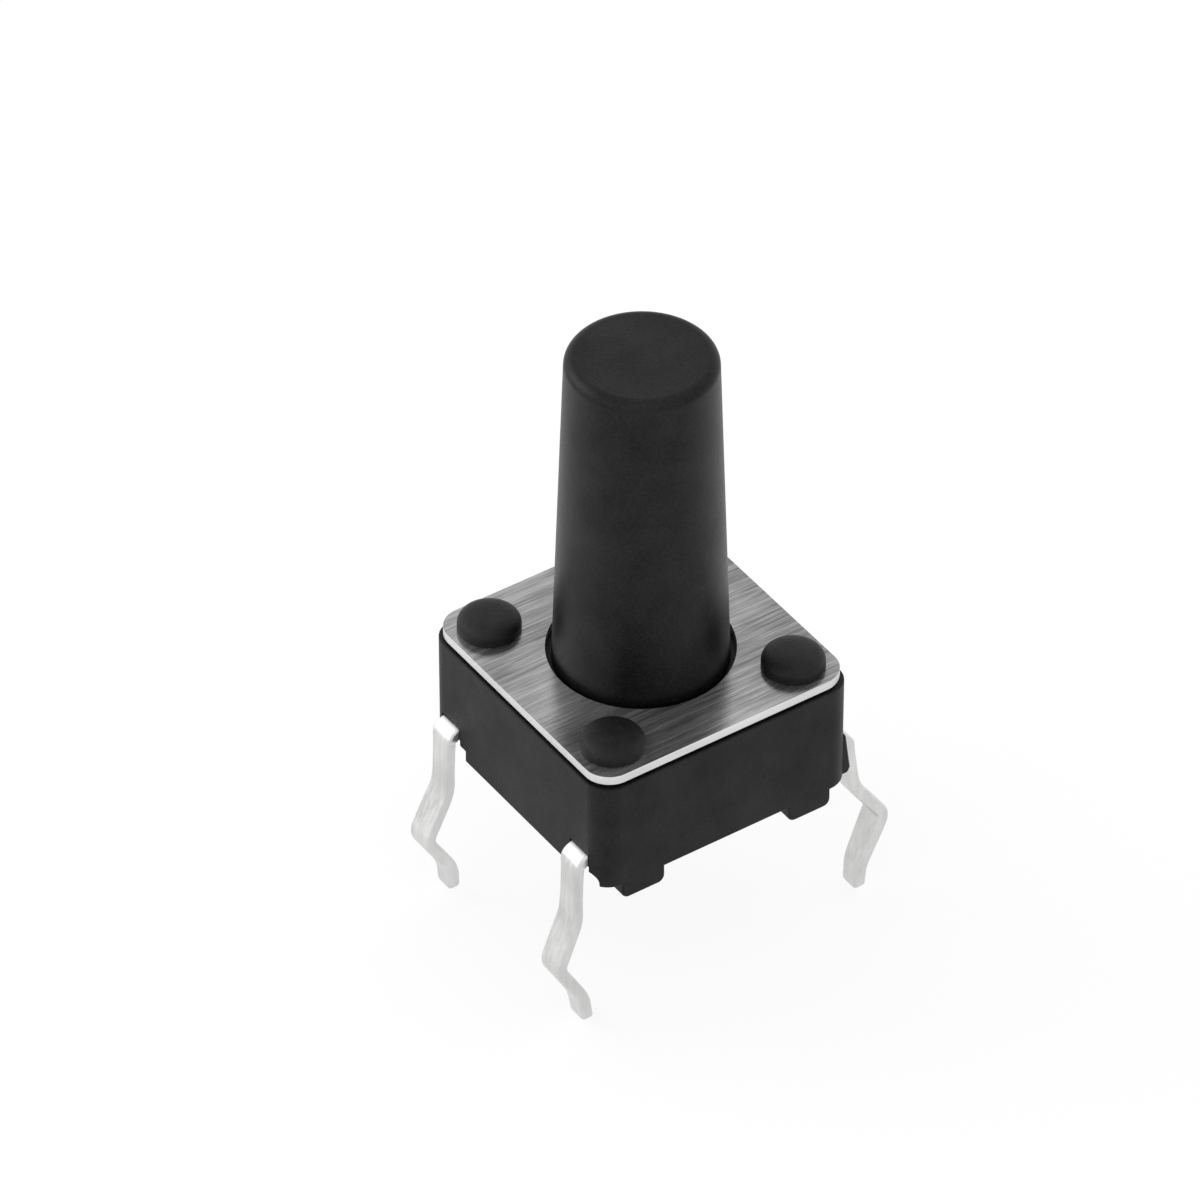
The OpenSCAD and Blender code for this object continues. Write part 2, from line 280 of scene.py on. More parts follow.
def slab(
    name: str, outline: Sequence[Point2], axis: Axis, start: float, depth: float
) -> bpy.types.Object:
    """Flat outline filled and pushed out along an axis.

    Args:
        name: the object's name.
        outline: the outline's points in the two other axes, in X, Y, Z order.
        axis: the way it gets its depth.
        start: where the depth starts.
        depth: the depth.

    Returns:
        The closed slab.
    """
    place: Callable[[Point2], Point3] = {
        Axis.X: lambda p: (start, p[0], p[1]),
        Axis.Y: lambda p: (p[0], start, p[1]),
        Axis.Z: lambda p: (p[0], p[1], start),
    }[axis]
    obj = chain(name, [place(p) for p in outline])
    bpy.ops.mesh.edge_face_add()
    bpy.ops.mesh.extrude_region_move(
        TRANSFORM_OT_translate={"value": tuple(Vector(axis.value) * depth)}
    )
    return close_shell(obj)


def copy_of(obj: bpy.types.Object, turn: Matrix) -> bpy.types.Object:
    """Copy with its own mesh, moved or mirrored.

    Args:
        obj: what is copied.
        turn: the change of place; a mirror gets its faces turned back outwards.

    Returns:
        The copy.
    """
    twin = obj.copy()
    twin.data = obj.data.copy()
    bpy.context.scene.collection.objects.link(twin)
    twin.data.transform(turn)
    if turn.is_negative:
        twin.data.flip_normals()
    return twin


def join(obj: bpy.types.Object, tool: bpy.types.Object, how: Join) -> bpy.types.Object:
    """Fuses, cuts or intersects obj with tool, which is used up.

    Args:
        obj: the solid that is kept.
        tool: the other solid.
        how: what is done.

    Returns:
        The kept solid.
    """
    mod = obj.modifiers.new(how.name, "BOOLEAN")
    mod.operation = how.value
    mod.solver = "EXACT"
    mod.object = tool
    focus(obj)
    bpy.ops.object.modifier_apply(modifier=mod.name)
    bpy.data.objects.remove(tool)
    return obj


def soften(
    obj: bpy.types.Object, width: float, segments: int = 3, angle: float = 35.0
) -> bpy.types.Object:
    """Rounds every edge that is sharper than an angle.

    Args:
        obj: the solid.
        width: width of the rounding.
        segments: faces across it.
        angle: smallest angle, in degrees, of an edge that is rounded.

    Returns:
        The same solid.
    """
    focus(obj)
    mod = obj.modifiers.new("soften", "BEVEL")
    mod.width = width
    mod.segments = segments
    mod.limit_method = "ANGLE"
    mod.angle_limit = math.radians(angle)
    mod.use_clamp_overlap = True
    bpy.ops.object.modifier_apply(modifier=mod.name)
    return obj


def pick_edges(obj: bpy.types.Object, wanted: Callable[[Vector, Vector], bool]) -> None:
    """Enters edit mode with only the wanted edges selected.

    Args:
        obj: the object.
        wanted: says from an edge's two ends whether it is selected.
    """
    focus(obj)
    bpy.ops.object.mode_set(mode="EDIT")
    bpy.ops.mesh.select_mode(type="EDGE")
    bpy.ops.mesh.select_all(action="DESELECT")
    bpy.ops.object.mode_set(mode="OBJECT")
    points = obj.data.vertices
    for edge in obj.data.edges:
        edge.select = wanted(points[edge.vertices[0]].co, points[edge.vertices[1]].co)
    bpy.ops.object.mode_set(mode="EDIT")


def round_upright_edges(obj: bpy.types.Object, radius: float, segments: int = 12) -> None:
    """Rounds the four upright edges of a block.

    Args:
        obj: the block.
        radius: radius of the corners.
        segments: faces round each corner.
    """
    pick_edges(obj, lambda a, b: (a - b).xy.length < NEAR)
    bpy.ops.mesh.bevel(offset=radius, segments=segments)
    bpy.ops.object.mode_set(mode="OBJECT")


def round_level_edges(
    obj: bpy.types.Object, height: float, radius: float, segments: int = 5
) -> None:
    """Rounds the edges that lie at one height.

    Args:
        obj: the block.
        height: the height.
        radius: radius of the rounding.
        segments: faces across it.
    """
    pick_edges(obj, lambda a, b: abs(a.z - height) < NEAR and abs(b.z - height) < NEAR)
    bpy.ops.mesh.bevel(offset=radius, segments=segments)
    bpy.ops.object.mode_set(mode="OBJECT")


def arc(middle: Point2, radius: float, start: float, end: float, steps: int) -> list[Point2]:
    """Points along an arc.

    Args:
        middle: the arc's centre.
        radius: its radius.
        start: angle of its first point, in degrees.
        end: angle of its last point, in degrees.
        steps: number of steps between them.

    Returns:
        The points, both ends included.
    """
    out = []
    for i in range(steps + 1):
        turn = math.radians(start + (end - start) * i / steps)
        out.append((middle[0] + radius * math.cos(turn), middle[1] + radius * math.sin(turn)))
    return out


def bent_path(points: Sequence[Point2], radii: Sequence[float], steps: int) -> list[Vector]:
    """Open path whose corners are rounded.

    Args:
        points: the path's ends and corners.
        radii: radius of each corner.
        steps: steps round each corner.

    Returns:
        The points of the rounded path.
    """
    path = [Vector(points[0])]
    for before, corner, after, radius in zip(points, points[1:], points[2:], radii):
        here = Vector(corner)
        back, on = (Vector(before) - here).normalized(), (Vector(after) - here).normalized()
        half = back.angle(on) / 2
        middle = here + (back + on).normalized() * radius / math.sin(half)
        first = here + back * radius / math.tan(half) - middle
        last = here + on * radius / math.tan(half) - middle
        for i in range(steps + 1):
            path.append(middle + radius * first.lerp(last, i / steps).normalized())
    path.append(Vector(points[-1]))
    return path


def finer(path: Sequence[Vector], step: float) -> list[Vector]:
    """Path with points added where two of them lie far apart.

    Args:
        path: the path's points.
        step: largest distance that is left between two points.

    Returns:
        The denser path.
    """
    out = [path[0]]
    for here, there in zip(path, path[1:]):
        parts = max(1, math.ceil((there - here).length / step))
        out += [here.lerp(there, (i + 1) / parts) for i in range(parts)]
    return out


def ribbon(
    name: str,
    path: Sequence[Vector],
    half_width: Callable[[Vector], float],
    thickness: float,
    edge: float,
) -> bpy.types.Object:
    """Strip of even thickness along a path in the XZ plane.

    Args:
        name: the object's name.
        path: the middle of the strip.
        half_width: half of the strip's width at a point of the path.
        thickness: its thickness.
        edge: rounding of its four long edges.

    Returns:
        The closed strip, its width along Y about 0.
    """
    obj = chain(name, [(p.x, -1.0, p.y) for p in path])
    bpy.ops.mesh.extrude_region_move(TRANSFORM_OT_translate={"value": (0, 2, 0)})
    close_shell(obj)
    for point in obj.data.vertices:
        point.co.y *= half_width(point.co.xz)
    focus(obj)
    wall = obj.modifiers.new("wall", "SOLIDIFY")
    wall.thickness = thickness
    wall.offset = 0.0
    wall.use_even_offset = True
    bpy.ops.object.modifier_apply(modifier=wall.name)
    longest = EDGE_SHARE * thickness
    pick_edges(obj, lambda a, b: a.y * b.y > 0 and (a.xz - b.xz).length < longest)
    bpy.ops.mesh.bevel(offset=edge, segments=4, clamp_overlap=False)
    return close_shell(obj)


# Finishes


class NodeBoard:
    """The node tree of one material, with short ways to add and link nodes."""

    def __init__(self, name: str) -> None:
        """Makes an empty material.

        Args:
            name: the material's name.
        """
        self.mat = bpy.data.materials.new(name)
        self.mat.use_nodes = True
        self.tree = self.mat.node_tree
        self.shader = self.tree.nodes["Principled BSDF"]

    def add(self, kind: str, **settings: object) -> bpy.types.Node:
        """Adds a node.

        Args:
            kind: the node's type.
            settings: its properties.

        Returns:
            The node.
        """
        node = self.tree.nodes.new(kind)
        for key, value in settings.items():
            setattr(node, key, value)
        return node

    def link(self, a: Socket, b: Socket) -> None:
        """Links output a to input b."""
        self.tree.links.new(a, b)

    def feed(self, name: str, value: Socket) -> None:
        """Links a value to the shader's input of that name."""
        self.link(value, self.shader.inputs[name])

    def millimetres(self, stretch: Point3 = (1.0, 1.0, 1.0)) -> Socket:
        """Object coordinates in millimetres, stretched.

        Args:
            stretch: factor along each axis.

        Returns:
            The coordinates' socket.
        """
        place = self.add("ShaderNodeTexCoord")
        mapping = self.add("ShaderNodeMapping")
        mapping.inputs["Scale"].default_value = [s / MM for s in stretch]
        self.link(place.outputs["Object"], mapping.inputs["Vector"])
        return mapping.outputs["Vector"]

    def noise(self, where: Socket, scale: float, detail: float, rough: float) -> Socket:
        """Noise from 0 to 1.

        Args:
            where: the coordinates.
            scale: grains per unit.
            detail: octaves.
            rough: weight of the finer octaves.

        Returns:
            The noise's socket.
        """
        node = self.add("ShaderNodeTexNoise")
        node.inputs["Scale"].default_value = scale
        node.inputs["Detail"].default_value = detail
        node.inputs["Roughness"].default_value = rough
        self.link(where, node.inputs["Vector"])
        return node.outputs["Fac"]

    def span(
        self, value: Socket, low: float, high: float, before: Point2 = (0.25, 0.75)
    ) -> Socket:
        """A value stretched to a new range.

        Args:
            value: the value.
            low: result where the old range starts.
            high: result where it ends.
            before: the old range.

        Returns:
            The new value's socket.
        """
        node = self.add("ShaderNodeMapRange")
        for key, number in zip(("From Min", "From Max", "To Min", "To Max"), (*before, low, high)):
            node.inputs[key].default_value = number
        self.link(value, node.inputs["Value"])
        return node.outputs["Result"]

    def blend(self, value: Socket, first: Point3, second: Point3) -> Socket:
        """Colour between two colours.

        Args:
            value: 0 for the first and 1 for the second.
            first: a colour.
            second: a colour.

        Returns:
            The colour's socket.
        """
        node = self.add("ShaderNodeMix", data_type="RGBA")
        node.inputs["A"].default_value = (*first, 1.0)
        node.inputs["B"].default_value = (*second, 1.0)
        self.link(value, node.inputs["Factor"])
        return node.outputs["Result"]

    def bump(self, height: Socket, depth: float) -> None:
        """Relief on the shader.

        Args:
            height: the relief's height, from 0 to 1.
            depth: its depth in millimetres.
        """
        node = self.add("ShaderNodeBump")
        node.inputs["Strength"].default_value = 1.0
        node.inputs["Distance"].default_value = depth * MM
        self.link(height, node.inputs["Height"])
        self.feed("Normal", node.outputs["Normal"])

    def sum(self, a: Socket, b: Socket) -> Socket:
        """Sum of two values.

        Args:
            a: a value.
            b: a value.

        Returns:
            The sum's socket.
        """
        node = self.add("ShaderNodeMath", operation="ADD")
        self.link(a, node.inputs[0])
        self.link(b, node.inputs[1])
        return node.outputs[0]


@dataclass(frozen=True)
class MouldedPlastic:
    """Black moulded plastic with a fine spark-eroded grain.

    The colours are linear, grain is the relief's depth in millimetres, coarse its number of
    grains to the millimetre, and spread the share by which the shine varies.
    """

    name: str
    dark: Point3
    light: Point3
    gloss_low: float = 0.42
    gloss_high: float = 0.56
    specular: float = 0.18
    grain: float = 0.006
    coarse: float = 16.0
    spread: float = 0.2

    def material(self) -> bpy.types.Material:
        """Builds the material.

        Returns:
            The finished material.
        """
        board = NodeBoard(self.name)
        where = board.millimetres()
        cloud = board.noise(where, scale=0.9, detail=4.0, rough=0.6)
        fine = board.noise(where, scale=self.coarse, detail=4.0, rough=0.65)
        specks = board.noise(where, scale=42.0, detail=2.0, rough=0.5)
        both = board.sum(cloud, fine)
        tone = board.span(both, 0.0, 1.0, SUM_RANGE)
        weak, strong = (1 - self.spread) * self.specular, (1 + self.spread) * self.specular
        board.feed("Base Color", board.blend(tone, self.dark, self.light))
        board.feed("Roughness", board.span(fine, self.gloss_low, self.gloss_high))
        board.feed("Specular IOR Level", board.span(both, weak, strong, SUM_RANGE))
        board.bump(board.sum(fine, specks), self.grain)
        return board.mat


@dataclass(frozen=True)
class BrushedSheet:
    """Rolled sheet brushed along X.

    The lines and hairs of the brushing are given as grains to the millimetre along each axis,
    and scratch is their depth in millimetres.
    """

    name: str
    dark: Point3
    light: Point3
    smooth: float = 0.14
    matt: float = 0.26
    scratch: float = 0.0018
    brushing: float = 0.4
    purity: float = 0.84
    tone_range: Point2 = (1.22, 1.78)
    lines: Point3 = (0.35, 9.0, 9.0)
    hairs: Point3 = (1.2, 38.0, 38.0)

    def material(self) -> bpy.types.Material:
        """Builds the material.

        Returns:
            The finished material.
        """
        board = NodeBoard(self.name)
        lines, hairs = board.millimetres(self.lines), board.millimetres(self.hairs)
        long = board.noise(lines, scale=1.0, detail=6.0, rough=0.7)
        hair = board.noise(hairs, scale=1.0, detail=3.0, rough=0.6)
        cloud = board.noise(board.millimetres(), scale=0.45, detail=2.0, rough=0.5)
        streaks = board.sum(long, hair)
        tone = board.span(board.sum(streaks, cloud), 0.0, 1.0, self.tone_range)
        board.feed("Base Color", board.blend(tone, self.dark, self.light))
        board.feed("Roughness", board.span(streaks, self.smooth, self.matt, SUM_RANGE))
        board.shader.inputs["Metallic"].default_value = self.purity
        board.shader.inputs["Anisotropic"].default_value = self.brushing
        across = board.add("ShaderNodeVectorTransform", vector_type="VECTOR")
        across.inputs["Vector"].default_value = (0.0, 1.0, 0.0)
        board.feed("Tangent", across.outputs["Vector"])
        board.bump(streaks, self.scratch)
        return board.mat


@dataclass(frozen=True)
class TinPlate:
    """Bright tin plating with the strip's faint drawing lines.

    The drawing lines are given as grains to the millimetre along each axis, and ripple is their
    depth in millimetres.
    """

    name: str
    dark: Point3
    light: Point3
    smooth: float = 0.22
    matt: float = 0.4
    ripple: float = 0.0018
    drawing: Point3 = (7.0, 13.0, 0.9)

    def material(self) -> bpy.types.Material:
        """Builds the material.

        Returns:
            The finished material.
        """
        board = NodeBoard(self.name)
        drawn = board.noise(board.millimetres(self.drawing), scale=1.0, detail=2.0, rough=0.5)
        cloud = board.noise(board.millimetres(), scale=1.6, detail=2.0, rough=0.5)
        both = board.sum(drawn, cloud)
        tone = board.span(both, 0.0, 1.0, SUM_RANGE)
        board.feed("Base Color", board.blend(tone, self.dark, self.light))
        board.feed("Roughness", board.span(both, self.smooth, self.matt, SUM_RANGE))
        board.shader.inputs["Metallic"].default_value = 1.0
        board.bump(both, self.ripple)
        return board.mat


@dataclass(frozen=True)
class SpringSteel:
    """Smooth stamped spring steel with faint rings of the press tool."""

    name: str
    color: Point3
    ring: Point3
    smooth: float = 0.24
    matt: float = 0.38
    rings: float = 4.0
    wavering: float = 1.5

    def material(self) -> bpy.types.Material:
        """Builds the material.

        Returns:
            The finished material.
        """
        board = NodeBoard(self.name)
        rings = board.add("ShaderNodeTexWave", wave_type="RINGS", rings_direction="Z")
        rings.inputs["Scale"].default_value = self.rings
        rings.inputs["Distortion"].default_value = self.wavering
        board.link(board.millimetres(), rings.inputs["Vector"])
        tone = rings.outputs["Fac"]
        board.feed("Base Color", board.blend(tone, self.color, self.ring))
        board.feed("Roughness", board.span(tone, self.smooth, self.matt, (0.0, 1.0)))
        board.shader.inputs["Metallic"].default_value = 1.0
        return board.mat


@dataclass(frozen=True)
class FloorPaint:
    """White floor that keeps a soft share of the object's shadow."""

    name: str = "white_floor"
    color: Point3 = (0.9, 0.9, 0.9)
    glow: float = 0.85

    def material(self) -> bpy.types.Material:
        """Builds the material.

        Returns:
            The finished material.
        """
        board = NodeBoard(self.name)
        nodes, out = board.tree.nodes, board.tree.nodes["Material Output"]
        nodes.remove(board.shader)
        paint = board.add("ShaderNodeBsdfDiffuse")
        paint.inputs["Color"].default_value = (*self.color, 1.0)
        white = board.add("ShaderNodeEmission")
        ray = board.add("ShaderNodeLightPath")
        seen = board.add("ShaderNodeMath", operation="MAXIMUM")
        share = board.add("ShaderNodeMath", operation="MULTIPLY")
        share.inputs[1].default_value = self.glow
        mix = board.add("ShaderNodeMixShader")
        board.link(ray.outputs["Is Camera Ray"], seen.inputs[0])
        board.link(ray.outputs["Is Glossy Ray"], seen.inputs[1])
        board.link(seen.outputs[0], share.inputs[0])
        board.link(share.outputs[0], mix.inputs["Fac"])
        board.link(paint.outputs[0], mix.inputs[1])
        board.link(white.outputs[0], mix.inputs[2])
        board.link(mix.outputs[0], out.inputs["Surface"])
        return board.mat


BODY_PLASTIC = MouldedPlastic("body_plastic", (0.002, 0.002, 0.002), (0.0095, 0.0095, 0.0095))
RIVET_PLASTIC = MouldedPlastic(
    "rivet_plastic",
    (0.004, 0.004, 0.004),
    (0.009, 0.009, 0.009),
    gloss_low=0.34,
    gloss_high=0.5,
    specular=0.2,
    grain=0.012,
    coarse=3.2,
)
BUTTON_PLASTIC = MouldedPlastic(
    "button_plastic",
    (0.001, 0.001, 0.001),
    (0.0075, 0.0075, 0.0075),
    gloss_low=0.34,
    gloss_high=0.46,
    specular=0.19,
    grain=0.004,
)
COVER_METAL = BrushedSheet("cover_metal", (0.17, 0.17, 0.175), (0.5, 0.5, 0.5))
# Lighter copy of the brushed sheet for the plate's side faces: partly the burnished sheared edge,
# partly a painted highlight of the light that falls on the edge
COVER_EDGE_SHEEN = BrushedSheet(
    "cover_edge_sheen", (0.62, 0.62, 0.62), (0.78, 0.78, 0.77), smooth=0.3, matt=0.45
)
STRIP_METAL = TinPlate("plated_strip", (0.56, 0.56, 0.555), (0.71, 0.71, 0.705))
DOME_METAL = SpringSteel("spring_steel", (0.55, 0.55, 0.56), (0.62, 0.62, 0.63))


def finish_piece(
    obj: bpy.types.Object,
    body: Body,
    materials: Sequence[bpy.types.Material],
    node: str,
) -> None:
    """Shades and scales a finished piece, gives it its materials and its body, and hides its CAD
    node.

    Args:
        obj: the modelled piece, in millimetres.
        body: the body that it rides on.
        materials: its materials, the main one first.
        node: the CAD node that it stands for.
    """
    focus(obj)
    bpy.ops.object.shade_smooth_by_angle(angle=math.radians(CRISP_ANGLE))
    even = obj.modifiers.new("even", "WEIGHTED_NORMAL")
    even.keep_sharp = True
    bpy.ops.object.modifier_apply(modifier=even.name)
    obj.data.transform(Matrix.Scale(MM, 4))
    obj.data.update()
    for mat in materials:
        obj.data.materials.append(mat)
    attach(obj, body.value)
    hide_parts(node)
    LOG.info("%s: %d faces, for %s", obj.name, len(obj.data.polygons), node)


# Sizes that several parts share, in millimetres

BODY_WIDTH = 6.0
BODY_TOP = 3.0
PLATE_TOP = 3.2
RIVET_XY = 2.14
LEG_Y = 2.25
STRIP_LOW = 0.82
STRIP_TOP = 1.08
STRIP_HALF = 0.3
DOME_SEAT = 1.16


# Parts of the switch


@dataclass(frozen=True)
class LegBends:
    """Where one leg's middle runs, as distances out from the body's face and heights."""

    gap: float
    knee: Point2
    elbow: Point2
    ankle: Point2
    tip: Point2


REAR_LEFT = LegBends(
    gap=0.02, knee=(0.2, -0.5), elbow=(0.74, -1.6), ankle=(0.12, -2.6), tip=(0.1, -3.2)
)
FRONT_LEFT = LegBends(
    gap=0.02, knee=(0.2, -0.6), elbow=(0.63, -1.7), ankle=(0.03, -2.75), tip=(-0.07, -3.4)
)
RIGHT = LegBends(
    gap=0.14, knee=(0.46, -0.45), elbow=(1.19, -1.47), ankle=(0.68, -2.65), tip=(0.64, -3.27)
)


@dataclass
class Terminal:
    """Metal strip through the body, with a leg at each end and its contacts.

    Bend, sweep and kink are the radii at the body's face, at the knee and ankle, and at the
    elbow. Over tip_round the leg is drawn in towards its tip, down to tip_least of its size.
    """

    name: str
    node: str
    y: float
    left: LegBends
    right: LegBends = RIGHT
    face: float = BODY_WIDTH / 2
    bottom: float = STRIP_LOW
    top: float = STRIP_TOP
    half_width: float = STRIP_HALF
    reach: float = 2.05
    neck_half: float = 0.25
    neck_start: float = 0.67
    neck_end: float = -0.1
    neck_blend: float = 0.7
    taper: float = -1.8
    tip_half: float = 0.23
    tip_round: float = 0.15
    tip_least: float = 0.35
    bend: float = 0.25
    kink: float = 0.35
    sweep: float = 1.1
    edge: float = 0.065
    inner_edge: float = 0.03
    step: float = 0.16
    bend_steps: int = 14
    tip_rings: int = 8
    tip_turn: float = 10.0

    def leg_path(self, bends: LegBends) -> list[Vector]:
        """Path of one leg on the +X side, from inside the body to its tip.

        Args:
            bends: where the leg bends.

        Returns:
            The path's points.
        """
        drop = self.face + bends.gap + (self.top - self.bottom) / 2
        corners = [(0.0, (self.top + self.bottom) / 2), (drop, (self.top + self.bottom) / 2)]
        turning = (bends.knee, bends.elbow, bends.ankle, bends.tip)
        corners += [(self.face + out, z) for out, z in turning]
        radii = [self.bend, self.sweep, self.kink, self.sweep]
        path = bent_path(corners, radii, self.bend_steps)
        last, tip = path[-2], path[-1]
        turns = [math.radians(self.tip_turn * i) for i in range(self.tip_rings)]
        steps = [self.tip_round * (1.0 - math.sin(turn)) for turn in turns] + [0.0]
        ends = [tip + (last - tip) * step / (last.y - tip.y) for step in steps]
        return finer(path[:-1] + ends, self.step)

    def half_at(self, place: Vector) -> float:
        """Half width of the strip at a point of its path.

        Args:
            place: the point, in X and Z.

        Returns:
            The half width, from the exit over the neck to the tip.
        """
        bends = self.right if place.x > 0 else self.left
        heights = [bends.tip[1], self.taper, self.neck_end - self.neck_blend]
        heights += [self.neck_end, self.neck_start, self.bottom]
        wide, neck = self.half_width, self.neck_half
        halves = [self.tip_half, wide, wide, neck, neck, wide]
        for low, high, a, b in zip(heights, heights[1:], halves, halves[1:]):
            if place.y < high:
                return a + (b - a) * (place.y - low) / (high - low)
        return self.half_width

    def round_tip(self, strip: bpy.types.Object, bends: LegBends, side: int) -> None:
        """Draws the strip in towards one leg's tip, as the coining of its end does.

        Args:
            strip: the strip.
            bends: where the leg bends.
            side: 1 for the right leg and -1 for the left one.
        """
        ankle, tip = (Vector((side * (self.face + out), z)) for out, z in (bends.ankle, bends.tip))
        across = (tip - ankle).orthogonal().normalized()
        for point in strip.data.vertices:
            above = point.co.z - tip.y
            if point.co.x * side > 0 and above < self.tip_round:
                short = 1.0 - above / self.tip_round
                kept = max(self.tip_least, math.sqrt(max(0.0, 1.0 - short**2)))
                inward = across * (point.co.xz - tip).dot(across)
                point.co -= Vector((inward.x, point.co.y, inward.y)) * (1.0 - kept)

    def contacts(self) -> list[bpy.types.Object]:
        """Models what the strip carries inside the chamber.

        Returns:
            The solids that are fused to the strip.
        """
        raise NotImplementedError

    def build(self) -> bpy.types.Object:
        """Models the whole terminal.

        Returns:
            The terminal in its place.
        """
        right, left = self.leg_path(self.right), self.leg_path(self.left)
        path = [Vector((-p.x, p.y)) for p in left[:0:-1]] + right[1:]
        strip = ribbon(self.name, path, self.half_at, self.top - self.bottom, self.edge)
        self.round_tip(strip, self.right, 1)
        self.round_tip(strip, self.left, -1)
        strip.data.transform(Matrix.Translation((0, self.y, 0)))
        for solid in self.contacts():
            join(strip, soften(solid, self.inner_edge), Join.FUSE)
        return strip

    def dress(self, obj: bpy.types.Object) -> None:
        """Gives the terminal its plating and its body.

        Args:
            obj: the built terminal.
        """
        finish_piece(obj, Body.HOUSING, [STRIP_METAL.material()], self.node)


@dataclass
class RimTerminal(Terminal):
    """The terminal that carries the snap dome's rim on two arms."""

    name: str = "rim_terminal"
    node: str = "terminal_outer"
    y: float = LEG_Y
    left: LegBends = REAR_LEFT
    arm_in: float = 1.5
    arm_reach: float = 1.0
    rail_half: float = 0.75
    rail_top: float = DOME_SEAT
    rail_root: float = 0.1

    def contacts(self) -> list[bpy.types.Object]:
        """Models the two arms and their raised rails.

        Returns:
            The arms and the rails.
        """
        solids = []
        for side in (-1, 1):
            low, high = sorted((side * self.arm_in, side * self.reach))
            arm = (low, -self.arm_reach, self.bottom), (high, self.y, self.top)
            foot = self.top - self.rail_root
            rail = (low, -self.rail_half, foot), (high, self.rail_half, self.rail_top)
            solids += [block("arm", *arm), block("rail", *rail)]
        return solids


@dataclass
class CentreTerminal(Terminal):
    """The terminal with the raised contact under the snap dome's middle."""

    name: str = "centre_terminal"
    node: str = "terminal_centre"
    y: float = -LEG_Y
    left: LegBends = FRONT_LEFT
    finger_half: float = 0.35
    end_r: float = 0.5
    boss_foot_r: float = 0.405
    boss_top_r: float = 0.17
    boss_top: float = 1.28

    def contacts(self) -> list[bpy.types.Object]:
        """Models the finger, its round end and the boss.

        Returns:
            The three solids.
        """
        half = self.finger_half
        finger = block("finger", (-half, self.y, self.bottom), (half, 0.0, self.top))
        end = post("finger_end", self.end_r, self.bottom, self.top)
        low = (self.top + self.bottom) / 2
        profile = [(0.0, low), (self.boss_foot_r, low)]
        profile += [(self.boss_top_r, self.boss_top), (0.0, self.boss_top)]
        return [finger, end, turned("boss", profile, steps=64)]


@dataclass(frozen=True)
class Notch:
    """Sizes of the notch below a strip's exit and of the shallow recess above it."""

    inward: float = 0.52
    outward: float = 0.55
    outward_right: float = 0.35
    top: float = 0.68
    depth: float = 0.45
    rounding: float = 0.2
    recess_depth: float = 0.08
    recess_gap: float = 0.02


@dataclass(frozen=True)
class Shoulder:
    """Sizes of the swelling on the corner side of a right leg."""

    out: float = 0.12
    top: float = 1.4
    widest: float = 0.5
    width: float = 0.18
    inner: float = 2.6
    root: float = 0.3


